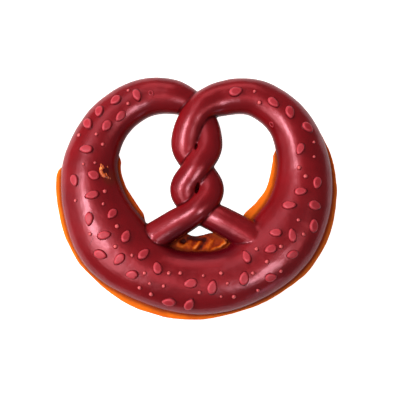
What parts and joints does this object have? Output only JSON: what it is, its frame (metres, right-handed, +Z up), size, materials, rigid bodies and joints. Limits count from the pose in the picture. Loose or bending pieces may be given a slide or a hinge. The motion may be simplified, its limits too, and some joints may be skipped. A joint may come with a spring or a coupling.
{
  "type": "moulded pretzel",
  "caption": "Classic twisted pretzel form lying flat: a glossy dark red layer with raised flat seeds and droplets over a thinner orange layer that shows round its foot and in its openings.",
  "frame": {"origin": "middle of the underside's bounding box, on the surface that the pretzel lies on", "axes": "+X across the two lobes, +Y towards the top of the lobes, +Z up out of the seeded face"},
  "size_m": [0.113, 0.0976, 0.015],
  "materials": {
    "red_layer": "smooth and glossy, dark burgundy red all through, with the seeds and droplets a little lighter",
    "orange_layer": "satin, bright orange, uneven and slightly crumpled at its cut edge"
  },
  "bodies": {
    "root": {"red_layer": "red_layer", "orange_layer": "orange_layer"}
  },
  "joints": []
}
